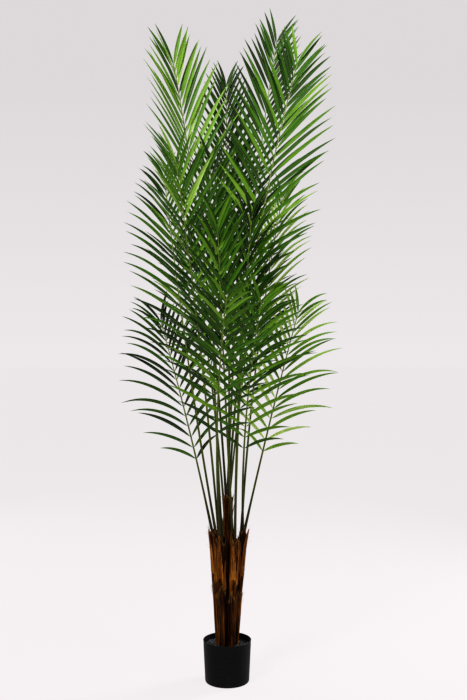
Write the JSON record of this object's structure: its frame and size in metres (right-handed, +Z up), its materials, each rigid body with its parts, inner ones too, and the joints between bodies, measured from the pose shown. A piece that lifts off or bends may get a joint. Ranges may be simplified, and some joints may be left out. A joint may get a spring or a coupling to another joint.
{
  "type": "potted palm",
  "caption": "Tall potted palm: feather fronds rise from a clump of brown canes wrapped in dry sheaths, in a plain round tapered pot with dark gravel.",
  "frame": {"origin": "centre of the pot's underside, where it rests on the floor", "axes": "+Z up along the clump of trunks, -Y towards the palm's front, +X to the right seen from the front"},
  "size_m": [0.7929, 1.0225, 2.4273],
  "materials": {
    "pot": "matte black moulded",
    "ballast": "cast",
    "gravel": "loose stones",
    "cane": "rough",
    "sheath": "dry fibrous",
    "leaf": "satin green"
  },
  "bodies": {
    "root": {"pot": "pot", "ballast": "ballast", "gravel": "gravel", "trunk_centre": "cane", "trunk_left": "cane", "trunk_front_left": "cane", "trunk_front_right": "cane", "trunk_right": "cane", "trunk_back": "cane", "sheath_lower_centre": "sheath", "sheath_lower_left": "sheath", "sheath_lower_front_left": "sheath", "sheath_lower_front_right": "sheath", "sheath_lower_right": "sheath", "sheath_lower_back": "sheath", "sheath_upper_centre": "sheath", "sheath_upper_left": "sheath", "sheath_upper_front_left": "sheath", "sheath_upper_front_right": "sheath", "sheath_upper_right": "sheath", "sheath_upper_back": "sheath", "frond_top_left": "leaf", "frond_top_right": "leaf", "frond_front": "leaf", "frond_front_right": "leaf", "frond_low_left": "leaf", "frond_low_right": "leaf", "frond_left_front": "leaf", "frond_left": "leaf", "frond_right": "leaf", "frond_top_back_right": "leaf", "frond_top_back": "leaf", "frond_inner_left": "leaf", "frond_inner_right": "leaf", "frond_inner_front": "leaf", "frond_back_left": "leaf", "frond_back_right": "leaf", "frond_back_tall": "leaf"}
  },
  "joints": []
}
